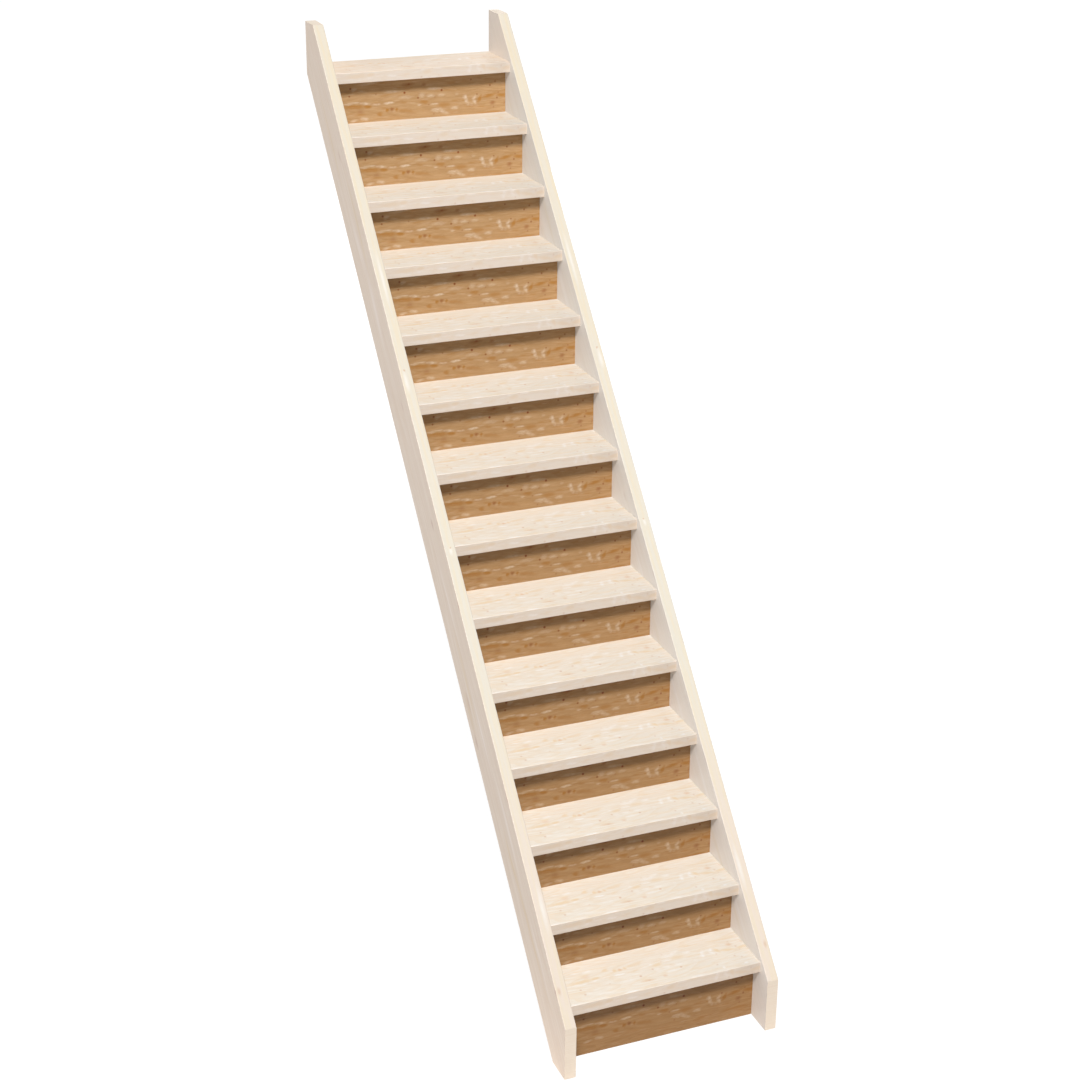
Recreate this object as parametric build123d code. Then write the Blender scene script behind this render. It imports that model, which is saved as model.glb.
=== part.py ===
from build123d import *
from math import hypot
import os

# A straight, steep stair flight in timber: two closed strings, square-edged treads housed in
# them, and a riser under every tread. Millimetres. +X runs across the flight, +Y goes up the
# flight and away from the climber, +Z is up. The origin is on the floor, at the middle of the
# rectangle that the flight covers.

# Steps
STEPS = 14                 # treads, each with a riser under it
RISE = 200.0               # from the top of one tread to the top of the next
GOING = 182.0              # from one nosing to the next
FIRST_RISE = 240.0         # from the floor to the top of the first tread
LAST_RISE = 160.0          # from the top of the last tread to the strings' level top cut

# Treads
CLEAR_WIDTH = 700.0        # between the strings
TREAD_THICKNESS = 40.0
NOSING = 45.0              # from the front of a tread back to the riser under it
TREAD_ARRIS = 2.0          # rounding of the two nosing edges

# Strings
STRING_THICKNESS = 40.0
STRING_ARRIS = 2.0         # rounding of the long edges
NOSING_MARGIN = 15.0       # from the nosings to the strings' front edges, square to the slope
FOOT_REACH = 58.0          # from the first nosing forward to the plumb cut at the foot

# Housings for the treads' ends
HOUSING_DEPTH = 12.0       # into the string's inner face
HOUSING_STOP = 25.0        # left uncut at the back of each tread
HOUSING_PLAY = 0.2         # above, behind and at the end of the tread

# Risers
RISER_THICKNESS = 18.0
RISER_END_PLAY = 0.3       # between a riser's end and the string
GROOVE_DEPTH = 8.0         # groove in the underside of a tread for the riser's top edge
GROOVE_PLAY = 0.2          # above and behind the riser in its groove

# What follows from those sizes
slope = RISE / GOING
tread_depth = GOING + NOSING
tread_length = CLEAR_WIDTH + 2 * HOUSING_DEPTH
flight_length = FOOT_REACH + STEPS * GOING + NOSING
front_y = -flight_length / 2
back_y = flight_length / 2
first_nosing_y = front_y + FOOT_REACH
inner_x = CLEAR_WIDTH / 2
top_z = FIRST_RISE + (STEPS - 1) * RISE + LAST_RISE
front_rise = NOSING_MARGIN * hypot(GOING, RISE) / GOING


def nosing_y(step):
    """Front of a tread. Steps are counted from 1 at the floor."""
    return first_nosing_y + (step - 1) * GOING


def tread_top(step):
    return FIRST_RISE + (step - 1) * RISE


def tread_underside(step):
    return tread_top(step) - TREAD_THICKNESS


def riser_front(step):
    return nosing_y(step) + NOSING


def riser_back(step):
    return riser_front(step) + RISER_THICKNESS


def front_line_z(y):
    """Height of the strings' front edge, which runs a margin ahead of the nosings."""
    return tread_top(1) + front_rise + slope * (y - nosing_y(1))


def back_line_z(y):
    """Height of the strings' back edge, which runs through the treads' lower back corners."""
    return tread_underside(1) + slope * (y - nosing_y(1) - tread_depth)


def riser_foot(step):
    """Lower edge of a riser. The first stands on the floor. Behind a tread, a riser laps the
    tread's back edge until its own back corner reaches the strings' back edge."""
    return 0.0 if step == 1 else back_line_z(riser_back(step))


def across(section, length):
    """A section drawn in the Y-Z plane, extruded to both sides of the middle of the flight."""
    return extrude(Plane.YZ * section, length / 2, both=True)


def block(x_size, y_low, y_high, z_low, z_high):
    """A box centred across the flight, between two depths and two heights."""
    middle = ((y_low + y_high) / 2, (z_low + z_high) / 2)
    return across(Pos(*middle) * Rectangle(y_high - y_low, z_high - z_low), x_size)


def tread_section(step, depth, height):
    """Section of a tread, or of the housing for it, with both nosing edges rounded."""
    section = Pos(nosing_y(step), tread_underside(step)) * Rectangle(
        depth, height, align=(Align.MIN, Align.MIN)
    )
    nosing_corners = section.vertices().group_by(Axis.X)[0]
    return fillet(nosing_corners, TREAD_ARRIS)


def string_outline():
    """Side view of a string: foot, front edge, level top cut, plumb back cut, back edge."""
    front_edge_top_y = nosing_y(1) + (top_z - tread_top(1) - front_rise) / slope
    heel_y = nosing_y(1) + tread_depth - tread_underside(1) / slope
    corners = [
        (front_y, 0),
        (front_y, front_line_z(front_y)),
        (front_edge_top_y, top_z),
        (back_y, top_z),
        (back_y, back_line_z(back_y)),
        (heel_y, 0),
    ]
    return make_face(Polyline(*corners, close=True))


def housings():
    """Stopped housings for all the treads, reaching into both strings."""
    depth = tread_depth - HOUSING_STOP + HOUSING_PLAY
    height = TREAD_THICKNESS + HOUSING_PLAY
    length = tread_length + 2 * HOUSING_PLAY
    return [across(tread_section(step, depth, height), length) for step in range(1, STEPS + 1)]


def string_right():
    plank = Pos(inner_x, 0, 0) * extrude(Plane.YZ * string_outline(), STRING_THICKNESS)
    along_slope = Axis((0, 0, 0), (0, GOING, RISE))
    plank = fillet(plank.edges().filter_by(along_slope), STRING_ARRIS)
    return plank - housings()


def tread(step):
    """A plank with its back corners notched to stop at the housings, and a groove underneath
    for the riser."""
    plank = across(tread_section(step, tread_depth, TREAD_THICKNESS), tread_length)
    stop_y = nosing_y(step) + tread_depth - HOUSING_STOP
    end_y = nosing_y(step) + tread_depth
    shoulder = block(tread_length, stop_y, end_y, tread_underside(step), tread_top(step))
    shoulder -= block(CLEAR_WIDTH, stop_y, end_y, tread_underside(step), tread_top(step))
    groove = block(
        tread_length,
        riser_front(step),
        riser_back(step) + GROOVE_PLAY,
        tread_underside(step),
        tread_underside(step) + GROOVE_DEPTH,
    )
    return plank - shoulder - groove


def riser(step):
    """A board between the strings, from its foot up into the groove of the tread above."""
    return block(
        CLEAR_WIDTH - 2 * RISER_END_PLAY,
        riser_front(step),
        riser_back(step),
        riser_foot(step),
        tread_underside(step) + GROOVE_DEPTH - GROOVE_PLAY,
    )


os.makedirs("parts", exist_ok=True)
right = string_right()
export_step(right, "parts/string_right.step")
export_step(mirror(right, Plane.YZ), "parts/string_left.step")
for step in range(1, STEPS + 1):
    export_step(tread(step), f"parts/tread_{step:02d}.step")
    export_step(riser(step), f"parts/riser_{step:02d}.step")
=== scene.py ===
from math import atan2, cos, pi, radians, sin

import bmesh
import bpy
from mathutils import Matrix, Vector


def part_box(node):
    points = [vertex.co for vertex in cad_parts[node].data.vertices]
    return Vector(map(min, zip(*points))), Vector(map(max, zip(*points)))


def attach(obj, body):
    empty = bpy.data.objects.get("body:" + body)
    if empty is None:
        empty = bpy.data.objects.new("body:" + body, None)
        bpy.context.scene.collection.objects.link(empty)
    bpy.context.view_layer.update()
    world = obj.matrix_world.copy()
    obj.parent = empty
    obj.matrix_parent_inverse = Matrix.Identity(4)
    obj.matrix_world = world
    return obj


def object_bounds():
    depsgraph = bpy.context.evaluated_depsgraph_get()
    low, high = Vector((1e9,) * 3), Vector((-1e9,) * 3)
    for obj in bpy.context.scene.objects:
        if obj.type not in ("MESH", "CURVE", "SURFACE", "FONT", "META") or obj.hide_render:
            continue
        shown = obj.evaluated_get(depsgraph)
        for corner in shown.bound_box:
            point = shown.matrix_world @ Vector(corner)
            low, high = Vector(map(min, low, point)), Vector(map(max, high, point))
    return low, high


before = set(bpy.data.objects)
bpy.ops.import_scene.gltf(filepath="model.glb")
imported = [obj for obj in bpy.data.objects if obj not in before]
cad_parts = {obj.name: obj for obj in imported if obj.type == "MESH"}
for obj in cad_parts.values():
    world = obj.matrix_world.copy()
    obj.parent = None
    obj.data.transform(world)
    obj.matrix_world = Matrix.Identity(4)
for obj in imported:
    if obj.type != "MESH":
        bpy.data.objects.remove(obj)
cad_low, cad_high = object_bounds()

# The looks of a straight timber stair flight. Metres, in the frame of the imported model: +X runs
# across the flight, +Y goes up it and away from the climber, and +Z is up.

MM = 0.001

# Steps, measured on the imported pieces
tread_names = sorted(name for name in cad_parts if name.startswith("tread_"))
riser_names = sorted(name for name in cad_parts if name.startswith("riser_"))
tread_low, tread_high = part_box("tread_01")
next_tread_low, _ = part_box("tread_02")
riser_low, riser_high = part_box("riser_01")
lapped_riser_low, lapped_riser_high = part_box("riser_02")
string_low, string_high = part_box("string_right")
going = next_tread_low.y - tread_low.y
rise = next_tread_low.z - tread_low.z
slope_angle = atan2(rise, going)
inner_x = riser_high.x

# The strings' front edges stand this far ahead of the nosings, square to the slope.
NOSING_MARGIN = 15 * MM
front_edge_start = Vector((0, tread_low.y, tread_high.z)) + NOSING_MARGIN * Vector(
    (0, -sin(slope_angle), cos(slope_angle))
)


def linear(hex_colour):
    """The linear colour of an sRGB hex value."""
    channels = [int(hex_colour[i : i + 2], 16) / 255 for i in (1, 3, 5)]
    curve = [c / 12.92 if c <= 0.04045 else ((c + 0.055) / 1.055) ** 2.4 for c in channels]
    return (*curve, 1.0)


def add(tree, kind, inputs=None, **settings):
    """Adds a node with its settings, and gives its inputs their values or links."""
    made = tree.nodes.new(kind)
    for name, value in settings.items():
        setattr(made, name, value)
    for name, value in (inputs or {}).items():
        if isinstance(value, bpy.types.NodeSocket):
            tree.links.new(value, made.inputs[name])
        else:
            made.inputs[name].default_value = value
    return made


# Patterns that the timbers share

def clouds(tree, place, size, low, high, most=1.0, detail=3.0, roughness=0.55, wander=0.0):
    """Soft patches of a real size in mm along each axis: 0 where the noise is under low, most
    where it is over high."""
    scaled = add(
        tree,
        "ShaderNodeMapping",
        {"Vector": place, "Scale": tuple(length * MM for length in size)},
        vector_type="TEXTURE",
    )
    noise = add(
        tree,
        "ShaderNodeTexNoise",
        {
            "Vector": scaled.outputs["Vector"],
            "Scale": 1.0,
            "Detail": detail,
            "Roughness": roughness,
            "Distortion": wander,
        },
    )
    return add(
        tree,
        "ShaderNodeMapRange",
        {"Value": noise.outputs["Fac"], "From Min": low, "From Max": high, "To Max": most},
        interpolation_type="SMOOTHSTEP",
    ).outputs["Result"]


def strongest(tree, *covers):
    """The strongest of several covers at every place."""
    most = covers[0]
    for cover in covers[1:]:
        larger = add(tree, "ShaderNodeMath", {0: most, 1: cover}, operation="MAXIMUM")
        most = larger.outputs["Value"]
    return most


def ovals(tree, place, marks, core=0.0, grow=1.0):
    """Soft oval marks: each has its place, its half length and half width in mm, its turn in
    degrees and its strength. Strongest up to the core, a share of the oval, and gone at its
    rim."""
    covers = []
    for x, v, half_length, half_width, turn, strength in marks:
        centred = add(
            tree,
            "ShaderNodeMapping",
            {
                "Vector": place,
                "Location": (x * MM, v * MM, 0),
                "Rotation": (0, 0, radians(turn)),
                "Scale": (grow * half_length * MM, grow * half_width * MM, 1),
            },
            vector_type="TEXTURE",
        )
        distance = add(
            tree, "ShaderNodeVectorMath", {0: centred.outputs["Vector"]}, operation="LENGTH"
        )
        mark = add(
            tree,
            "ShaderNodeMapRange",
            {
                "Value": distance.outputs["Value"],
                "From Min": 1.0,
                "From Max": core,
                "To Max": strength,
            },
            interpolation_type="SMOOTHSTEP",
        )
        covers.append(mark.outputs["Result"])
    return strongest(tree, *covers)


def rings(tree, place, size, number):
    """Growth rings as a cut lays them open: contours of a broad swell. Each darkens slowly, from
    0.35 to 0.90 of its width, and ends sharply, from 0.92 on."""
    swell = clouds(tree, place, size, 0.0, 1.0, detail=2.0, roughness=0.35)
    raised = add(tree, "ShaderNodeMath", {0: swell, 1: number}, operation="MULTIPLY")
    phase = add(tree, "ShaderNodeMath", {0: raised.outputs["Value"]}, operation="FRACT")
    rising = add(
        tree,
        "ShaderNodeMapRange",
        {"Value": phase.outputs["Value"], "From Min": 0.35, "From Max": 0.90},
        interpolation_type="SMOOTHSTEP",
    )
    falling = add(
        tree,
        "ShaderNodeMapRange",
        {"Value": phase.outputs["Value"], "From Min": 1.0, "From Max": 0.92},
    )
    return add(
        tree,
        "ShaderNodeMath",
        {0: rising.outputs["Result"], 1: falling.outputs["Result"]},
        operation="MINIMUM",
    ).outputs["Value"]


def shaken(tree, place, patch, reach):
    """The place moved to and fro by noise, so that marks and streaks get uneven outlines. Patch
    is the size of the swings and reach is how far they go, in mm along each axis."""
    scaled = add(
        tree,
        "ShaderNodeMapping",
        {"Vector": place, "Scale": tuple(length * MM for length in patch)},
        vector_type="TEXTURE",
    )
    noise = add(
        tree,
        "ShaderNodeTexNoise",
        {"Vector": scaled.outputs["Vector"], "Scale": 1.0, "Detail": 3.0},
    )
    centred = add(
        tree,
        "ShaderNodeVectorMath",
        {0: noise.outputs["Color"], 1: (0.5, 0.5, 0.5)},
        operation="SUBTRACT",
    )
    return add(
        tree,
        "ShaderNodeVectorMath",
        {
            0: centred.outputs["Vector"],
            1: tuple(2 * length * MM for length in reach),
            2: place,
        },
        operation="MULTIPLY_ADD",
    ).outputs["Vector"]


def layered(tree, ground, layers):
    """Lays colours over a ground colour. Each layer has its cover, the cover's strength and its
    colour."""
    colour = linear(ground)
    for cover, strength, over in layers:
        share = add(tree, "ShaderNodeMath", {0: cover, 1: strength}, operation="MULTIPLY")
        colour = add(
            tree,
            "ShaderNodeMix",
            {0: share.outputs["Value"], 6: colour, 7: linear(over)},
            data_type="RGBA",
        ).outputs[2]
    return colour


# The tone that changes nothing
AS_IT_IS = (1.0, 1.0, 1.0)


def toned(tree, colour, way, first_tone, last_tone):
    """A colour times a tone, which goes from one to another as the way goes from 0 to 1. A tone
    is a factor each for red, green and blue."""
    tone = add(
        tree, "ShaderNodeMix", {0: way, 4: first_tone, 5: last_tone}, data_type="VECTOR"
    )
    return add(
        tree, "ShaderNodeVectorMath", {0: colour, 1: tone.outputs[1]}, operation="MULTIPLY"
    ).outputs["Vector"]


def start(name):
    """A new material: the material, its tree, its shader, and the object's coordinates and
    normal."""
    material = bpy.data.materials.new(name)
    material.use_nodes = True
    tree = material.node_tree
    shader = tree.nodes["Principled BSDF"]
    source = add(tree, "ShaderNodeTexCoord")
    return material, tree, shader, source.outputs["Object"], source.outputs["Normal"]


def finish_surface(tree, shader, colour, patches, roughness, height, depth):
    """Links colour, roughness and bump. Roughness has two values, for no patch and for a full
    one. Height is a pattern from 0 to 1, and depth is in mm."""
    between, within = roughness
    gloss = add(
        tree, "ShaderNodeMapRange", {"Value": patches, "To Min": between, "To Max": within}
    )
    bump = add(
        tree,
        "ShaderNodeBump",
        {"Height": height, "Distance": depth * MM, "Strength": 1.0},
    )
    tree.links.new(colour, shader.inputs["Base Color"])
    tree.links.new(gloss.outputs["Result"], shader.inputs["Roughness"])
    tree.links.new(bump.outputs["Normal"], shader.inputs["Normal"])


def facing(tree, normal, axis, over=0.7):
    """1 on faces that look along an axis, either way, and 0 on the others."""
    parts = add(tree, "ShaderNodeSeparateXYZ", {"Vector": normal})
    size = add(tree, "ShaderNodeMath", {0: parts.outputs[axis]}, operation="ABSOLUTE")
    return add(
        tree, "ShaderNodeMath", {0: size.outputs["Value"], 1: over}, operation="GREATER_THAN"
    ).outputs["Value"]


def facing_back(tree, normal):
    """1 on faces that look away from the climber, and 0 on the others."""
    parts = add(tree, "ShaderNodeSeparateXYZ", {"Vector": normal})
    return add(
        tree, "ShaderNodeMath", {0: parts.outputs["Y"], 1: 0.5}, operation="GREATER_THAN"
    ).outputs["Value"]


def on_first_step(tree, place, axis, start_at, pitch):
    """Moves every step's place down the flight to the first step, by the number of whole
    pitches between start_at and the place along one axis. Also gives that number."""
    parts = add(tree, "ShaderNodeSeparateXYZ", {"Vector": place})
    from_start = add(
        tree, "ShaderNodeMath", {0: parts.outputs[axis], 1: start_at}, operation="SUBTRACT"
    )
    pitches = add(
        tree, "ShaderNodeMath", {0: from_start.outputs["Value"], 1: pitch}, operation="DIVIDE"
    )
    count = add(tree, "ShaderNodeMath", {0: pitches.outputs["Value"]}, operation="FLOOR")
    moved = add(
        tree,
        "ShaderNodeVectorMath",
        {0: count.outputs["Value"], 1: (0, -going, -rise), 2: place},
        operation="MULTIPLY_ADD",
    )
    return moved.outputs["Vector"], count.outputs["Value"]


# The figure of the boards, as the photograph repeats it on every step: places in mm, x from the
# middle of the flight and v across the board, upwards on a riser.
# x, v, half length, half width, turn, strength
PIN_KNOTS = (
    (-61.5, 101.5, 5.2, 5.2, 0, 1.0),
    (88, 101.5, 5.0, 5.0, 0, 1.0),
    (-280.5, 102, 4.4, 4.4, 0, 0.75),
    (-175.5, 103, 4.0, 4.0, 0, 0.4),
    (-7.5, 78.5, 4.4, 4.4, 0, 0.75),
    (61, 76, 3.6, 3.6, 0, 0.3),
    (232.5, 76, 4.0, 3.6, 0, 0.6),
    (286, 107, 4.4, 4.4, 0, 0.75),
    (307, 120.5, 4.2, 4.2, 0, 0.65),
    (320, 77.5, 3.6, 3.6, 0, 0.4),
    (315, 57, 4.4, 4.4, 0, 0.65),
    (208, 134, 4.2, 4.2, 0, 0.65),
    (-276, 131, 5.0, 5.0, 0, 0.75),
    (-44, 133, 6.0, 4.0, 0, 0.5),
    (301, 22, 4.0, 4.0, 0, 0.4),
    (56, 12.5, 4.6, 4.6, 0, 0.3),
    (36.5, 49, 3.6, 3.6, 0, 0.35),
)
KNOTS = (
    (-113, 42, 12, 12, 0, 0.95),
    (297, 39, 19, 14, 0, 0.8),
    (345, 35, 9, 12, 0, 0.5),
    (-237, 40, 22, 11, -10, 0.5),
    (-48, 132, 36, 10, 3, 0.65),
    (17, 128, 12, 11, 0, 0.65),
)
OCHRE_STREAKS = (
    (-262, 61, 66, 12, -3, 0.9),
    (-210, 59, 27, 11, -3, 1.0),
    (18, 61, 26, 13, 0, 0.75),
    (-65, 65, 18, 7, 0, 0.4),
    (99, 44, 38, 14, 0, 0.6),
    (243, 58, 24, 10, 62, 0.95),
    (280, 67, 44, 10, 8, 0.95),
    (335, 66, 38, 10, -6, 0.95),
    (-60, 33, 70, 8, -8, 0.45),
    (150, 128, 70, 9, 4, 0.45),
    (290, 2, 90, 9, 1, 0.6),
    (-40, 165, 20, 8, 0, 0.5),
    (-145, 96, 26, 8, 0, 0.35),
    (-161, 27, 15, 13, 0, 0.75),
    (-131, 41, 9, 11, 0, 1.0),
    (-94, 39, 9, 11, 0, 0.95),
)
PALE_FLECKS = (
    (-125, 66.5, 30, 6, 2, 1.0),
    (-287, 73, 28, 6, 2, 0.5),
    (-258, 76.5, 28, 5, 0, 0.5),
    (-218, 71, 32, 6.5, -8, 0.6),
    (-174, 65, 26, 5, 0, 0.5),
    (184, 68, 14, 12, -50, 0.75),
    (189, 54, 22, 10, -72, 0.55),
    (195, 41, 12, 8, -70, 0.35),
    (221, 62, 18, 9, -130, 0.65),
    (222, 47, 18, 9, -50, 0.6),
    (208, 36, 16, 6, -8, 0.2),
    (66, 29, 34, 9, 4, 0.55),
    (92, 20, 34, 10, -24, 0.55),
    (62, 22, 22, 5, -10, 0.4),
    (141, 30, 24, 8, 4, 0.6),
    (-264, 8.5, 22, 8, 8, 0.55),
    (-222, 13, 24, 9, -10, 0.55),
    (-55, 84, 44, 10, 0, 0.35),
    (9, 87, 20, 15, 0, 0.4),
    (43, 83, 26, 9, 0, 0.5),
    (86, 83, 22, 10, 0, 0.38),
    (150, 83, 12, 6, 0, 0.4),
    (-2, 51, 13, 5, 0, 0.55),
    (59, 50, 24, 4.5, -2, 0.65),
    (222, 156, 9, 9, 0, 0.9),
    (-262, 126, 18, 11, 20, 0.4),
    (-200, 146, 70, 9, 6, 0.4),
    (-110, 109, 48, 8, 0, 0.45),
    (58, 109, 46, 8, 0, 0.45),
    (-338, 171, 34, 7, 0, 0.7),
    (-120, 171, 42, 7, 0, 0.7),
    (120, 169, 40, 8, 0, 0.6),
    (306, 158, 10, 10, 0, 0.6),
)
# What is left of a fleck where the wood breaks it
FLECK_REST = 0.55


def figure(tree, place):
    """The covers of the figure at a place across a board: streaks, rings, dark grain, pale
    flecks, ochre streaks, knots and pin knots."""
    drifting = shaken(tree, place, (150, 40, 40), (0, 5, 0))
    ragged = shaken(tree, place, (16, 8, 7), (7, 3.5, 0))
    streaks = clouds(tree, drifting, (105, 15, 50), 0.33, 0.68, detail=4, wander=0.3)
    ring_lines = rings(tree, drifting, (420, 75, 200), 9)
    # The flecks are feathered: the knife skims the growth rings and leaves them broken.
    whole = clouds(tree, place, (13, 4, 50), 0.36, 0.56, detail=2)
    feathered = add(
        tree,
        "ShaderNodeMath",
        {
            0: ovals(tree, ragged, PALE_FLECKS, core=0.2),
            1: strongest(tree, whole, FLECK_REST),
        },
        operation="MULTIPLY",
    )
    pale = strongest(
        tree,
        clouds(tree, drifting, (64, 9, 50), 0.54, 0.78, most=0.35, detail=5),
        feathered.outputs["Value"],
    )
    ochre = strongest(
        tree,
        clouds(tree, drifting, (110, 18, 50), 0.52, 0.72, most=0.55),
        ovals(tree, ragged, OCHRE_STREAKS, core=0.2),
    )
    grain = clouds(tree, drifting, (60, 5, 50), 0.50, 0.76, detail=5, wander=0.4)
    knots = ovals(tree, ragged, KNOTS)
    pins = ovals(tree, place, PIN_KNOTS, core=0.25, grow=1.3)
    return streaks, ring_lines, grain, pale, ochre, knots, pins


# Riser boards: the painted shade of the first board and the painted light of the last, as tones,
# ply thickness in mm, and how far the back veneer is from the front one in the pattern, in metres
FIRST_BOARD_PAINTED_SHADE = (0.898, 0.848, 0.781)
LAST_BOARD_PAINTED_LIGHT = (1.24, 1.28, 1.357)
PLY_THICKNESS = 2.0
BACK_VENEER_SHIFT = 2.0


def riser_plywood():
    """Softwood plywood with a rotary-cut face veneer, sanded and oiled: an orange-brown ground
    with ochre streaks, whitish flecks where the cut skims the growth rings, and small brown
    knots. Its edges show the plies. Painted shade and light: the boards are darkened at the foot
    and lightened up the flight."""
    material, tree, shader, place, normal = start("riser_plywood")
    step_start = riser_low.y - going / 2
    first, step = on_first_step(tree, place, "Y", step_start, going)
    parts = add(tree, "ShaderNodeSeparateXYZ", {"Vector": first})
    tread_below = tread_high.z - rise
    v = add(
        tree, "ShaderNodeMath", {0: parts.outputs["Z"], 1: tread_below}, operation="SUBTRACT"
    )
    # The back veneer is another piece, without the marks of the front.
    x = add(
        tree,
        "ShaderNodeMath",
        {0: facing_back(tree, normal), 1: BACK_VENEER_SHIFT, 2: parts.outputs["X"]},
        operation="MULTIPLY_ADD",
    )
    across = add(
        tree, "ShaderNodeCombineXYZ", {"X": x.outputs["Value"], "Y": v.outputs["Value"]}
    ).outputs["Vector"]
    streaks, ring_lines, grain, pale, ochre, knots, pins = figure(tree, across)
    fibre = clouds(tree, place, (26, 5, 1.1), 0.3, 0.7, detail=4)
    face_colour = layered(
        tree,
        "#A27E53",
        (
            (streaks, 1.0, "#AC8960"),
            (ring_lines, 0.35, "#987043"),
            (grain, 0.6, "#8F6638"),
            (fibre, 0.25, "#926D43"),
            (ochre, 1.0, "#98682D"),
            (pale, 0.94, "#C7B39C"),
            (knots, 0.82, "#80481A"),
            (pins, 1.0, "#783B13"),
        ),
    )
    plies = ply_lines(tree, parts.outputs["Y"])
    edge_colour = layered(tree, "#B7A080", ((plies, 1.0, "#8A6742"),))
    colour = add(
        tree,
        "ShaderNodeMix",
        {0: facing(tree, normal, "Y"), 6: edge_colour, 7: face_colour},
        data_type="RGBA",
    ).outputs[2]
    # Painted shade and light: the boards are darker at the foot and paler up the flight.
    way_up = add(tree, "ShaderNodeMath", {0: step, 1: len(riser_names) - 1.0}, operation="DIVIDE")
    colour = toned(tree, colour, way_up.outputs["Value"], FIRST_BOARD_PAINTED_SHADE, LAST_BOARD_PAINTED_LIGHT)
    finish_surface(tree, shader, colour, streaks, (0.62, 0.52), fibre, 0.06)
    return material


def ply_lines(tree, depth):
    """Dark lines at the cross plies, counted from the board's front face."""
    from_face = add(
        tree, "ShaderNodeMath", {0: depth, 1: riser_low.y}, operation="SUBTRACT"
    )
    folded = add(
        tree,
        "ShaderNodeMath",
        {0: from_face.outputs["Value"], 1: PLY_THICKNESS * MM},
        operation="PINGPONG",
    )
    return add(
        tree,
        "ShaderNodeMapRange",
        {
            "Value": folded.outputs["Value"],
            "From Min": 0.4 * PLY_THICKNESS * MM,
            "From Max": 0.6 * PLY_THICKNESS * MM,
        },
        interpolation_type="SMOOTHSTEP",
    ).outputs["Result"]


# Treads: tones of painted shade and light, and the figure's v in mm at the nosing's front on the
# tops and at the underside on the nosings. From there v falls, back up the step and upwards.
NOSING_PAINTED_SHADE = (0.9822, 0.9356, 0.9235)
TOP_LEFT_PAINTED_LIGHT = (1.0191, 1.0238, 1.0234)
TOP_RIGHT_PAINTED_SHADE = (0.9129, 0.9311, 0.9545)
RIGHT_END_PAINTED_SHADE = (0.90, 0.90, 0.90)
LAST_TREAD_PAINTED_LIGHT = (1.096, 1.015, 0.959)
V_AT_NOSING = 175
V_AT_UNDERSIDE = 86
# The painted shade at the right end, in mm from the right string: it starts at one and is full at
# the other.
RIGHT_END_START = 120
RIGHT_END_FULL = 5
# On the nosings the figure shows through a quiet ground of this strength.
NOSING_QUIET = 0.45
# End grain, in mm: the spacing of the rings, and the pith's depth under the first tread
RING_SPACING = 3.6
PITH_DEPTH = 70


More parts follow.
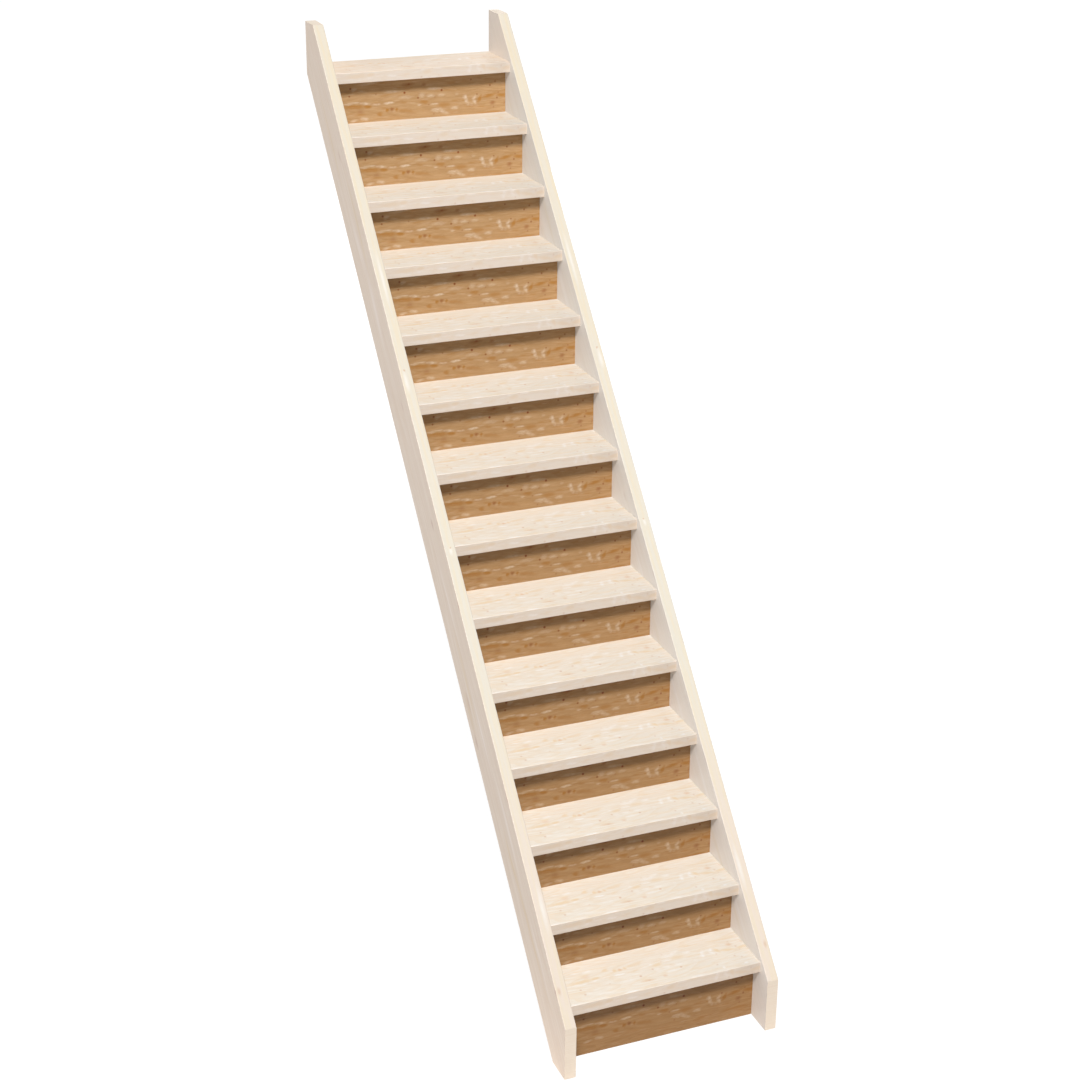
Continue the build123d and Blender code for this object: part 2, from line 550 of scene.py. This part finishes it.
def tread_pine():
    """Pine planks, planed and limed: nearly white, with faint tan streaks along the length,
    whitish flecks and a few small orange knots. The ends show the growth rings."""
    material, tree, shader, place, normal = start("tread_pine")
    step_start = tread_high.z - rise / 2 - (tread_high.z - tread_low.z) / 2
    first, step = on_first_step(tree, place, "Z", step_start, rise)
    parts = add(tree, "ShaderNodeSeparateXYZ", {"Vector": first})
    v_top = add(
        tree,
        "ShaderNodeMath",
        {0: V_AT_NOSING * MM + tread_low.y, 1: parts.outputs["Y"]},
        operation="SUBTRACT",
    )
    v_front = add(
        tree,
        "ShaderNodeMath",
        {0: V_AT_UNDERSIDE * MM + tread_low.z, 1: parts.outputs["Z"]},
        operation="SUBTRACT",
    )
    level = facing(tree, normal, "Z")
    v = add(
        tree, "ShaderNodeMix", {0: level, 2: v_front.outputs["Value"], 3: v_top.outputs["Value"]}
    )
    across = add(
        tree, "ShaderNodeCombineXYZ", {"X": parts.outputs["X"], "Y": v.outputs[0]}
    ).outputs["Vector"]
    streaks, ring_lines, grain, pale, ochre, knots, pins = figure(tree, across)
    fibre = clouds(tree, place, (48, 1.2, 1.2), 0.3, 0.7, detail=4)
    quiet = add(
        tree, "ShaderNodeMapRange", {"Value": level, "To Min": NOSING_QUIET, "To Max": 0.0}
    )
    colour = layered(
        tree,
        "#E2D9CC",
        (
            (streaks, 1.0, "#E7E0D5"),
            (ring_lines, 0.45, "#E0CDB3"),
            (grain, 0.6, "#DFC7A9"),
            (fibre, 0.25, "#D8C7B3"),
            (ochre, 0.9, "#DFC8A6"),
            (pale, 0.9, "#F0EEED"),
            (knots, 0.85, "#D8B490"),
            (pins, 0.68, "#C99F80"),
            (quiet.outputs["Result"], 1.0, "#E2D9CC"),
        ),
    )
    # Painted light and shade: the nosings are darkened, the tops are lightened at the left and
    # darkened towards the right, and the right end is darkened more.
    from_left = add(
        tree,
        "ShaderNodeMapRange",
        {"Value": parts.outputs["X"], "From Min": -inner_x, "From Max": inner_x},
    )
    top_painted_light_and_shade = add(
        tree,
        "ShaderNodeMix",
        {0: from_left.outputs["Result"], 4: TOP_LEFT_PAINTED_LIGHT, 5: TOP_RIGHT_PAINTED_SHADE},
        data_type="VECTOR",
    )
    colour = toned(tree, colour, level, NOSING_PAINTED_SHADE, top_painted_light_and_shade.outputs[1])
    right_end_painted_shade = add(
        tree,
        "ShaderNodeMapRange",
        {
            "Value": parts.outputs["X"],
            "From Min": inner_x - RIGHT_END_START * MM,
            "From Max": inner_x - RIGHT_END_FULL * MM,
        },
        interpolation_type="SMOOTHSTEP",
    )
    colour = toned(tree, colour, right_end_painted_shade.outputs["Result"], AS_IT_IS, RIGHT_END_PAINTED_SHADE)
    # Painted light: the top of the last tread, with no riser on it, is lightened and warmed.
    last = add(
        tree,
        "ShaderNodeMath",
        {0: step, 1: len(tread_names) - 1.5},
        operation="GREATER_THAN",
    )
    last_top_painted_light = add(
        tree, "ShaderNodeMath", {0: last.outputs["Value"], 1: level}, operation="MULTIPLY"
    )
    colour = toned(tree, colour, last_top_painted_light.outputs["Value"], AS_IT_IS, LAST_TREAD_PAINTED_LIGHT)
    end_colour = layered(tree, "#D8C6AC", ((growth_rings(tree, first), 1.0, "#B79670"),))
    colour = add(
        tree,
        "ShaderNodeMix",
        {0: facing(tree, normal, "X"), 6: colour, 7: end_colour},
        data_type="RGBA",
    ).outputs[2]
    finish_surface(tree, shader, colour, streaks, (0.58, 0.48), fibre, 0.05)
    return material


def growth_rings(tree, place):
    """Growth rings on a tread's ends, round a pith under the first tread. They stretch along the
    plank, so that both ends show nearly the same rings."""
    centred = add(
        tree,
        "ShaderNodeMapping",
        {
            "Vector": place,
            "Location": (0, (tread_low.y + tread_high.y) / 2, tread_low.z - PITH_DEPTH * MM),
            "Scale": (1000, 1, 1),
        },
        vector_type="TEXTURE",
    )
    radius = add(
        tree,
        "ShaderNodeVectorMath",
        {0: shaken(tree, centred.outputs["Vector"], (20, 20, 20), (0, 1, 1))},
        operation="LENGTH",
    )
    folded = add(
        tree,
        "ShaderNodeMath",
        {0: radius.outputs["Value"], 1: RING_SPACING / 2 * MM},
        operation="PINGPONG",
    )
    return add(
        tree,
        "ShaderNodeMapRange",
        {
            "Value": folded.outputs["Value"],
            "From Min": 0.5 * RING_SPACING / 2 * MM,
            "From Max": RING_SPACING / 2 * MM,
        },
    ).outputs["Result"]


# Places along a string in mm: x from its middle, s up the slope from the first nosing
# x, s, half width, half length, turn, strength
EDGE_KNOTS = (
    (-2, 1617, 5, 6, 0, 0.9),
    (3, 2295, 6, 8, 0, 0.9),
    (8, 55, 8, 22, 0, 0.6),
)
EDGE_HALOES = (
    (-1, 1604, 9, 22, 0, 0.7),
    (-2, 2660, 9, 150, 0, 0.7),
    (6, 2250, 12, 60, 0, 0.7),
    (-6, 330, 12, 110, 0, 0.6),
)
# s, h out of the slope from the front edge, half length, half width, turn, strength
FACE_SMUDGES = (
    (55, -4, 30, 9, 0, 0.7),
    (713, -3, 40, 8, 0, 0.8),
    (960, -174, 40, 14, 0, 0.5),
    (1095, -155, 60, 12, 0, 0.4),
    (1403, -5, 30, 9, 0, 0.8),
    (1732, -65, 34, 11, 0, 0.6),
    (2190, -70, 36, 8, 0, 0.4),
    (3205, -73, 40, 10, 0, 0.5),
)
FACE_OCHRES = (
    (330, -108, 420, 13, -1, 0.7),
    (520, -120, 150, 10, 0, 0.8),
    (1180, -118, 260, 16, 2, 0.5),
    (1060, -165, 120, 24, 0, 0.5),
    (2900, -62, 300, 14, 3, 0.6),
    (3300, -120, 300, 12, 2, 0.6),
)
FACE_PALES = (
    (200, -78, 200, 12, 0, 0.5),
    (640, -70, 260, 14, 1, 0.6),
    (980, -96, 220, 12, 0, 0.7),
    (1450, -100, 220, 12, 0, 0.5),
    (2600, -98, 220, 30, 4, 0.5),
    (2860, -110, 200, 30, -4, 0.4),
)
# Tones, and the stretches that they change over, as two places s in mm. The face tones and the
# right edge's tone are painted light and shade.
OUTER_FACE_PAINTED_LIGHT = (1.03, 0.99, 0.965)
INNER_FOOT_PAINTED_SHADE = (0.926, 0.981, 1.053)
INNER_HEAD_PAINTED_SHADE = (0.797, 0.863, 0.93)
INNER_STRETCH = (270, 3245)
INNER_TIP_PAINTED_SHADE = (0.94, 0.945, 0.962)
TIP_STRETCH = (3440, 3600)
EDGE_FOOT_TONE = (1.015, 1.012, 1.02)
EDGE_HEAD_TONE = (0.99, 0.965, 0.945)
EDGE_STRETCH = (1400, 3300)
PINK_STRETCH = (1100, 350)
RIGHT_EDGE_PAINTED_LIGHT = (1.043, 1.043, 1.043)


def string_pine():
    """The same limed pine in long planks: streaks up the slope, greyish pink on the faces and
    cream on the front edges, which are pinker near the foot."""
    material, tree, shader, place, normal = start("string_pine")
    turned = add(
        tree,
        "ShaderNodeMapping",
        {
            "Vector": place,
            "Location": front_edge_start,
            "Rotation": (slope_angle, 0, 0),
        },
        vector_type="TEXTURE",
    )
    parts = add(tree, "ShaderNodeSeparateXYZ", {"Vector": turned.outputs["Vector"]})
    size_x = add(tree, "ShaderNodeMath", {0: parts.outputs["X"]}, operation="ABSOLUTE")
    middle_x = (string_low.x + string_high.x) / 2
    x = add(
        tree, "ShaderNodeMath", {0: size_x.outputs["Value"], 1: middle_x}, operation="SUBTRACT"
    )
    grain_place = add(
        tree,
        "ShaderNodeCombineXYZ",
        {"X": x.outputs["Value"], "Y": parts.outputs["Y"], "Z": parts.outputs["Z"]},
    ).outputs["Vector"]
    edge_place = add(
        tree, "ShaderNodeCombineXYZ", {"X": x.outputs["Value"], "Y": parts.outputs["Y"]}
    ).outputs["Vector"]
    face_place = add(
        tree, "ShaderNodeCombineXYZ", {"X": parts.outputs["Y"], "Y": parts.outputs["Z"]}
    ).outputs["Vector"]
    drifting = shaken(tree, grain_place, (60, 500, 60), (0, 0, 6))
    streaks = clouds(tree, drifting, (60, 380, 12), 0.33, 0.68, detail=4)
    fibre = clouds(tree, grain_place, (1.2, 60, 1.2), 0.3, 0.7, detail=4)
    outward = add(
        tree, "ShaderNodeVectorMath", {0: normal, 1: place}, operation="MULTIPLY"
    )
    outward_x = add(tree, "ShaderNodeSeparateXYZ", {"Vector": outward.outputs["Vector"]})
    inner = add(
        tree, "ShaderNodeMath", {0: outward_x.outputs["X"], 1: 0.0}, operation="LESS_THAN"
    ).outputs["Value"]
    face_colour = string_faces(tree, parts, face_place, drifting, streaks, fibre, inner)
    edge_colour = string_edges(tree, parts, edge_place, drifting, fibre, normal)
    # The plumb and level cuts show the end grain, in fine lines across the plank's thickness.
    end_lines = clouds(tree, grain_place, (90, 2.2, 2.2), 0.35, 0.65)
    end_colour = layered(tree, "#F0E4D4", ((end_lines, 0.4, "#E6D2BC"),))
    cut = strongest(
        tree, facing(tree, normal, "Y", over=0.9), facing(tree, normal, "Z", over=0.9)
    )
    colour = edge_colour
    for cover, over in ((cut, end_colour), (facing(tree, normal, "X"), face_colour)):
        colour = add(
            tree, "ShaderNodeMix", {0: cover, 6: colour, 7: over}, data_type="RGBA"
        ).outputs[2]
    finish_surface(tree, shader, colour, streaks, (0.60, 0.50), fibre, 0.05)
    return material


def string_faces(tree, parts, place, drifting, streaks, fibre, inner):
    """The broad faces of the strings. Painted light and shade: the outer faces are toned warmer
    and the inner ones darker and cooler, more so up the flight and less again at the tip."""
    ragged = shaken(tree, place, (60, 14, 14), (12, 3, 0))
    ring_lines = rings(tree, drifting, (120, 1500, 95), 11)
    colour = layered(
        tree,
        "#DED2C6",
        (
            (streaks, 0.7, "#E5DBD0"),
            (ring_lines, 0.3, "#DACAB8"),
            (fibre, 0.15, "#D5C5B5"),
            (ovals(tree, ragged, FACE_OCHRES), 1.0, "#D9C8AC"),
            (ovals(tree, ragged, FACE_PALES), 1.0, "#ECE5E1"),
            (ovals(tree, ragged, FACE_SMUDGES), 1.0, "#C1A79B"),
            (inner, 0.5, "#DFD3C6"),
        ),
    )
    # Painted shade: the inner faces darken up the flight and lighten again at the tip; the outer
    # faces get painted light.
    inner_painted_shade = add(
        tree,
        "ShaderNodeMix",
        {
            0: along_string(tree, parts, INNER_STRETCH),
            4: INNER_FOOT_PAINTED_SHADE,
            5: INNER_HEAD_PAINTED_SHADE,
        },
        data_type="VECTOR",
    )
    inner_painted_shade_to_tip = add(
        tree,
        "ShaderNodeMix",
        {
            0: along_string(tree, parts, TIP_STRETCH, "SMOOTHSTEP"),
            4: inner_painted_shade.outputs[1],
            5: INNER_TIP_PAINTED_SHADE,
        },
        data_type="VECTOR",
    )
    return toned(tree, colour, inner, OUTER_FACE_PAINTED_LIGHT, inner_painted_shade_to_tip.outputs[1])


def string_edges(tree, parts, place, drifting, fibre, normal):
    """The long edges of the strings, with a few knots in pale haloes. They are pinker at the
    back and near the foot and creamier up the flight. The right string's edges get painted light,
    a little paler."""
    ragged = shaken(tree, place, (12, 40, 12), (2, 8, 0))
    patches = clouds(tree, drifting, (10, 260, 30), 0.42, 0.62)
    pink = strongest(
        tree,
        along_string(tree, parts, PINK_STRETCH, "SMOOTHSTEP"),
        facing_back(tree, normal),
    )
    colour = layered(
        tree,
        "#D1CBBD",
        (
            (pink, 1.0, "#D5C8BA"),
            (patches, 0.55, "#D6C9AD"),
            (fibre, 0.15, "#CABCA6"),
            (ovals(tree, ragged, EDGE_HALOES), 1.0, "#DFDCD6"),
            (ovals(tree, ragged, EDGE_KNOTS), 1.0, "#C5A587"),
        ),
    )
    up_flight = along_string(tree, parts, EDGE_STRETCH)
    colour = toned(tree, colour, up_flight, EDGE_FOOT_TONE, EDGE_HEAD_TONE)
    # Painted light: the right string's edges are lightened.
    to_right = add(
        tree,
        "ShaderNodeMapRange",
        {"Value": parts.outputs["X"], "From Min": -inner_x, "From Max": inner_x},
    )
    return toned(tree, colour, to_right.outputs["Result"], AS_IT_IS, RIGHT_EDGE_PAINTED_LIGHT)


def along_string(tree, parts, stretch, interpolation="LINEAR"):
    """Goes from 0 to 1 over a stretch of the string."""
    first, last = stretch
    return add(
        tree,
        "ShaderNodeMapRange",
        {"Value": parts.outputs["Y"], "From Min": first * MM, "From Max": last * MM},
        interpolation_type=interpolation,
    ).outputs["Result"]


def screw_zinc():
    """Carbon steel with bright zinc plating, formed and tumbled: a cool light metal with a faint
    yellow cast in patches and a slightly uneven gloss."""
    material, tree, shader, place, _ = start("screw_zinc")
    patches = clouds(tree, place, (2.5, 2.5, 2.5), 0.4, 0.65)
    pits = clouds(tree, place, (0.4, 0.4, 0.4), 0.35, 0.7)
    colour = layered(tree, "#C4C7C8", ((patches, 1.0, "#CFC9AE"),))
    shader.inputs["Metallic"].default_value = 1.0
    finish_surface(tree, shader, colour, patches, (0.28, 0.42), pits, 0.01)
    return material


# Screws, in mm. Depths count from the head's top.
SCREW_COLUMNS = 3
SCREW_SPACING = 290.0
SCREW_LENGTH = 40.0
TIP_LENGTH = 4.0
TIP_SHARE = 0.15
SHANK_RADIUS = 1.55
HEAD_RADIUS = 4.0
HEAD_DEPTH = 3.2
HEAD_PROUD = 0.3
ROUNDING = 0.15
WIDEST_DEPTH = 0.3
CONE_DEPTH = 0.5
RECESS_RADIUS = 1.75
RECESS_DEPTH = 1.8
LOBES = 6
LOBE_SWELL = 0.16
SEGMENTS = 36
THREAD_START = 4.5
THREAD_LENGTH = 24.0
THREAD_TURNS = 11.0
THREAD_RIDGE = 0.5
THREAD_STEPS = 12
TURN_SEED = 7


def screw_blank():
    """One countersunk screw without its thread: the head at the origin looks along +Y. Each
    circle of its profile, from the tip to the floor of the recess, has its radius, how far the
    lobes swell it, and its place along the axis, in mm."""
    profile = (
        (SHANK_RADIUS * TIP_SHARE, 0.0, -SCREW_LENGTH),
        (SHANK_RADIUS, 0.0, -SCREW_LENGTH + TIP_LENGTH),
        (SHANK_RADIUS, 0.0, -HEAD_DEPTH),
        (HEAD_RADIUS - ROUNDING, 0.0, -CONE_DEPTH),
        (HEAD_RADIUS, 0.0, -WIDEST_DEPTH),
        (HEAD_RADIUS - ROUNDING, 0.0, 0.0),
        (RECESS_RADIUS, LOBE_SWELL, 0.0),
        (RECESS_RADIUS - ROUNDING, LOBE_SWELL, -ROUNDING),
        (RECESS_RADIUS - 2 * ROUNDING, LOBE_SWELL, -RECESS_DEPTH),
    )
    mesh = bmesh.new()
    loops = []
    turns = [2 * pi * i / SEGMENTS for i in range(SEGMENTS)]
    for radius, swell, along in profile:
        radii = [radius * (1 + swell * cos(LOBES * turn)) for turn in turns]
        loops.append(
            [
                mesh.verts.new((r * cos(t) * MM, (along + HEAD_PROUD) * MM, r * sin(t) * MM))
                for r, t in zip(radii, turns)
            ]
        )
    for lower, upper in zip(loops, loops[1:]):
        for i in range(SEGMENTS):
            j = (i + 1) % SEGMENTS
            mesh.faces.new((lower[i], lower[j], upper[j], upper[i]))
    mesh.faces.new(loops[0])
    mesh.faces.new(loops[-1])
    bmesh.ops.recalc_face_normals(mesh, faces=mesh.faces)
    data = bpy.data.meshes.new("screw_blank")
    mesh.to_mesh(data)
    mesh.free()
    return bpy.data.objects.new("screw_blank", data)


# Inputs of the tree that sets the screws out
SCREW_INPUTS = (
    ("Blank", "NodeSocketObject"),
    ("First Screw", "NodeSocketVector"),
    ("Rows", "NodeSocketInt"),
    ("Row Offset", "NodeSocketVector"),
    ("Columns", "NodeSocketInt"),
    ("Column Offset", "NodeSocketVector"),
    ("Thread Start", "NodeSocketVector"),
    ("Thread Radius", "NodeSocketFloat"),
    ("Thread Length", "NodeSocketFloat"),
    ("Thread Turns", "NodeSocketFloat"),
    ("Thread Ridge", "NodeSocketFloat"),
    ("Seed", "NodeSocketInt"),
)


def screw_rows(finish):
    """Geometry nodes: rows of threaded screws up the flight, each turned by its own amount. Also
    gives the identifiers of the tree's inputs."""
    tree = bpy.data.node_groups.new("screw_rows", "GeometryNodeTree")
    ids = {}
    for name, kind in SCREW_INPUTS:
        ids[name] = tree.interface.new_socket(name, in_out="INPUT", socket_type=kind).identifier
    tree.interface.new_socket("Geometry", in_out="OUTPUT", socket_type="NodeSocketGeometry")
    given = add(tree, "NodeGroupInput").outputs
    blank = add(tree, "GeometryNodeObjectInfo", {"Object": given["Blank"]})
    helix = add(
        tree,
        "GeometryNodeCurveSpiral",
        {
            "Resolution": THREAD_STEPS,
            "Rotations": given["Thread Turns"],
            "Start Radius": given["Thread Radius"],
            "End Radius": given["Thread Radius"],
            "Height": given["Thread Length"],
        },
    )
    ridge = add(
        tree,
        "GeometryNodeCurvePrimitiveCircle",
        {"Resolution": 3, "Radius": given["Thread Ridge"]},
    )
    thread = add(
        tree,
        "GeometryNodeCurveToMesh",
        {
            "Curve": helix.outputs["Curve"],
            "Profile Curve": ridge.outputs["Curve"],
            "Fill Caps": True,
        },
    )
    placed_thread = add(
        tree,
        "GeometryNodeTransform",
        {
            "Geometry": thread.outputs["Mesh"],
            "Translation": given["Thread Start"],
            "Rotation": (-pi / 2, 0, 0),
        },
    )
    screw = add(tree, "GeometryNodeJoinGeometry", {"Geometry": blank.outputs["Geometry"]})
    tree.links.new(placed_thread.outputs["Geometry"], screw.inputs["Geometry"])
    row = add(
        tree,
        "GeometryNodeMeshLine",
        {
            "Count": given["Columns"],
            "Start Location": given["First Screw"],
            "Offset": given["Column Offset"],
        },
    )
    steps = add(
        tree,
        "GeometryNodeMeshLine",
        {"Count": given["Rows"], "Offset": given["Row Offset"]},
    )
    rows = add(
        tree,
        "GeometryNodeInstanceOnPoints",
        {"Points": steps.outputs["Mesh"], "Instance": row.outputs["Mesh"]},
    )
    places = add(
        tree, "GeometryNodeRealizeInstances", {"Geometry": rows.outputs["Instances"]}
    )
    turn = add(
        tree,
        "FunctionNodeRandomValue",
        {"Seed": given["Seed"], 2: 0.0, 3: 2 * pi / LOBES},
        data_type="FLOAT",
    )
    turned = add(tree, "ShaderNodeCombineXYZ", {"Y": turn.outputs[1]})
    screws = add(
        tree,
        "GeometryNodeInstanceOnPoints",
        {
            "Points": places.outputs["Geometry"],
            "Instance": screw.outputs["Geometry"],
            "Rotation": turned.outputs["Vector"],
        },
    )
    real = add(
        tree, "GeometryNodeRealizeInstances", {"Geometry": screws.outputs["Instances"]}
    )
    finished = add(
        tree,
        "GeometryNodeSetMaterial",
        {"Geometry": real.outputs["Geometry"], "Material": finish},
    )
    add(tree, "NodeGroupOutput", {"Geometry": finished.outputs["Geometry"]})
    return tree, ids


def riser_screws(finish):
    """The screws that hold each lapped riser to the back of the tread in front of it, in the
    middle of the lap."""
    blank = screw_blank()
    carrier = bpy.data.objects.new("screw_carrier", bpy.data.meshes.new("screw_carrier"))
    for made in (blank, carrier):
        bpy.context.scene.collection.objects.link(made)
    tree, ids = screw_rows(finish)
    lap_middle = (lapped_riser_low.z + tread_high.z) / 2
    values = {
        "Blank": blank,
        "First Screw": (-SCREW_SPACING * MM, lapped_riser_high.y, lap_middle),
        "Rows": len(riser_names) - 1,
        "Row Offset": (0, going, rise),
        "Columns": SCREW_COLUMNS,
        "Column Offset": (SCREW_SPACING * MM, 0, 0),
        "Thread Start": (0, (-SCREW_LENGTH + THREAD_START) * MM, 0),
        "Thread Radius": SHANK_RADIUS * MM,
        "Thread Length": THREAD_LENGTH * MM,
        "Thread Turns": THREAD_TURNS,
        "Thread Ridge": THREAD_RIDGE * MM,
        "Seed": TURN_SEED,
    }
    modifier = carrier.modifiers.new("rows", "NODES")
    modifier.node_group = tree
    for name, value in values.items():
        modifier[ids[name]] = value
    shown = carrier.evaluated_get(bpy.context.evaluated_depsgraph_get())
    screws = bpy.data.objects.new("riser_screws", bpy.data.meshes.new_from_object(shown))
    bpy.context.scene.collection.objects.link(screws)
    for used in (carrier, blank):
        bpy.data.objects.remove(used)
    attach(screws, "root")


def dress(names, material):
    """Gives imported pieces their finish."""
    for name in names:
        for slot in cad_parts[name].material_slots:
            slot.material = material


# Studio: light from all round, as a share of white, and soft lights
AMBIENT = 0.15
# name, place, diameter, strength on a surface square to it as a share of white, shadows
# The veil lifts the corners that the side fill can't reach, so it casts no shadow.
LIGHTS = (
    ("key", (-5.6, -12.9, 19.1), 4.6, 1.19, True),
    ("side_fill", (-9.0, 0.0, 4.0), 6.0, 0.21, True),
    ("side_veil", (-8.0, -0.5, 3.5), 3.0, 0.21, False),
    ("back_fill", (4.5, 10.0, 2.1), 4.2, 0.45, True),
    ("right_fill", (9.0, 2.5, 1.2), 3.0, 0.35, True),
)
# The floor's reach, and what it throws back on the flight: far off, and round the foot, where it
# is at its strongest within one distance and as it is far off from the other
FLOOR_REACH = 60.0
FAR_THROW = (0.25, 0.25, 0.25, 1)
FOOT_THROW = (0.63, 0.57, 0.52, 1)
FOOT_POOL = (0.2, 1.3)
# The floor's own glow to the camera, near the foot and far off, and how much of the lights it
# adds, so that a trace of shadow shows
GLOW = (0.95, 1.0)
GLOW_DISTANCES = (3.0, 8.0)
SHADOW_TRACE = (0.10, 0.10, 0.10, 1)
# The photograph's view: turns in degrees, the lens and sensor in mm, and shifts as shares of the
# sensor's width
CAMERA_PLACE = (-2.703759, -6.739394, 4.479860)
CAMERA_YAW = 22.35064
CAMERA_PITCH = 23.52418
CAMERA_ROLL = 0.59719
CAMERA_LENS = 72.086
CAMERA_REACH = 200.0
SENSOR_WIDTH = 36.0
SHIFT_X = -0.00037
SHIFT_Y = 0.00073


def stage_shader(tree, output, surface, seen):
    """Shows one closure to the camera and lights the flight with another, so that a white
    ground doesn't wash out the shadows between the steps."""
    path = add(tree, "ShaderNodeLightPath")
    mixed = add(
        tree,
        "ShaderNodeMixShader",
        {0: path.outputs["Is Camera Ray"], 1: surface, 2: seen},
    )
    tree.links.new(mixed.outputs["Shader"], output.inputs["Surface"])


def white_world():
    """White to the camera, and a dim light from all round on the flight."""
    world = bpy.data.worlds.new("white_studio")
    world.use_nodes = True
    tree = world.node_tree
    tree.nodes.clear()
    output = add(tree, "ShaderNodeOutputWorld")
    dim = add(
        tree, "ShaderNodeBackground", {"Color": linear("#FFFDFA"), "Strength": AMBIENT}
    )
    bright = add(tree, "ShaderNodeBackground", {"Color": linear("#FFFFFF"), "Strength": 1.0})
    stage_shader(tree, output, dim.outputs["Background"], bright.outputs["Background"])
    bpy.context.scene.world = world


def pale_floor():
    """A plain floor, level with the strings' feet, nearly white to the camera. What it throws
    back on the flight is strongest and warm round the foot."""
    mesh = bpy.data.meshes.new("floor")
    corners = [
        (x * FLOOR_REACH, y * FLOOR_REACH, cad_low.z)
        for x, y in ((-1, -1), (1, -1), (1, 1), (-1, 1))
    ]
    mesh.from_pydata(corners, [], [(0, 1, 2, 3)])
    floor = bpy.data.objects.new("floor", mesh)
    bpy.context.scene.collection.objects.link(floor)
    material = bpy.data.materials.new("pale_floor")
    material.use_nodes = True
    tree = material.node_tree
    tree.nodes.clear()
    output = add(tree, "ShaderNodeOutputMaterial")
    place = add(tree, "ShaderNodeTexCoord").outputs["Object"]
    foot = (0, cad_low.y, 0)
    from_foot = add(tree, "ShaderNodeVectorMath", {0: place, 1: foot}, operation="DISTANCE")
    pool_core, pool_rim = FOOT_POOL
    pool = add(
        tree,
        "ShaderNodeMapRange",
        {"Value": from_foot.outputs["Value"], "From Min": pool_rim, "From Max": pool_core},
        interpolation_type="SMOOTHSTEP",
    )
    thrown_back = add(
        tree,
        "ShaderNodeMix",
        {0: pool.outputs["Result"], 6: FAR_THROW, 7: FOOT_THROW},
        data_type="RGBA",
    )
    matt = add(tree, "ShaderNodeBsdfDiffuse", {"Color": thrown_back.outputs[2]})
    strength = add(
        tree,
        "ShaderNodeMapRange",
        {
            "Value": from_foot.outputs["Value"],
            "From Min": GLOW_DISTANCES[0],
            "From Max": GLOW_DISTANCES[1],
            "To Min": GLOW[0],
            "To Max": GLOW[1],
        },
    )
    glow = add(tree, "ShaderNodeEmission", {"Strength": strength.outputs["Result"]})
    trace = add(tree, "ShaderNodeBsdfDiffuse", {"Color": SHADOW_TRACE})
    seen = add(tree, "ShaderNodeAddShader", {0: glow.outputs[0], 1: trace.outputs[0]})
    stage_shader(tree, output, matt.outputs["BSDF"], seen.outputs["Shader"])
    mesh.materials.append(material)


def soft_light(target, name, place, size, strength, shadows):
    """A round soft light. Its power gives the wanted strength on a surface that faces it."""
    light = bpy.data.lights.new(name, "AREA")
    light.shape = "DISK"
    light.size = size
    to_target = target - Vector(place)
    light.energy = strength * pi**2 * to_target.length_squared
    light.use_shadow = shadows
    lamp = bpy.data.objects.new(name, light)
    lamp.location = place
    lamp.rotation_mode = "QUATERNION"
    lamp.rotation_quaternion = to_target.to_track_quat("-Z", "Y")
    bpy.context.scene.collection.objects.link(lamp)


def camera():
    """The photograph's view, from the left, in front and above."""
    view = bpy.data.cameras.new("camera")
    view.sensor_width = SENSOR_WIDTH
    view.lens = CAMERA_LENS
    view.shift_x = SHIFT_X
    view.shift_y = SHIFT_Y
    view.clip_end = CAMERA_REACH
    seen_from = bpy.data.objects.new("camera", view)
    turn = (
        Matrix.Rotation(-radians(CAMERA_YAW), 4, "Z")
        @ Matrix.Rotation(pi / 2 - radians(CAMERA_PITCH), 4, "X")
        @ Matrix.Rotation(radians(CAMERA_ROLL), 4, "Z")
    )
    seen_from.matrix_world = Matrix.Translation(CAMERA_PLACE) @ turn
    bpy.context.scene.collection.objects.link(seen_from)
    bpy.context.scene.camera = seen_from


dress(["string_left", "string_right"], string_pine())
dress(tread_names, tread_pine())
dress(riser_names, riser_plywood())
riser_screws(screw_zinc())

white_world()
pale_floor()
middle = (cad_low + cad_high) / 2
for light in LIGHTS:
    soft_light(middle, *light)
camera()
bpy.context.scene.view_settings.view_transform = "Standard"
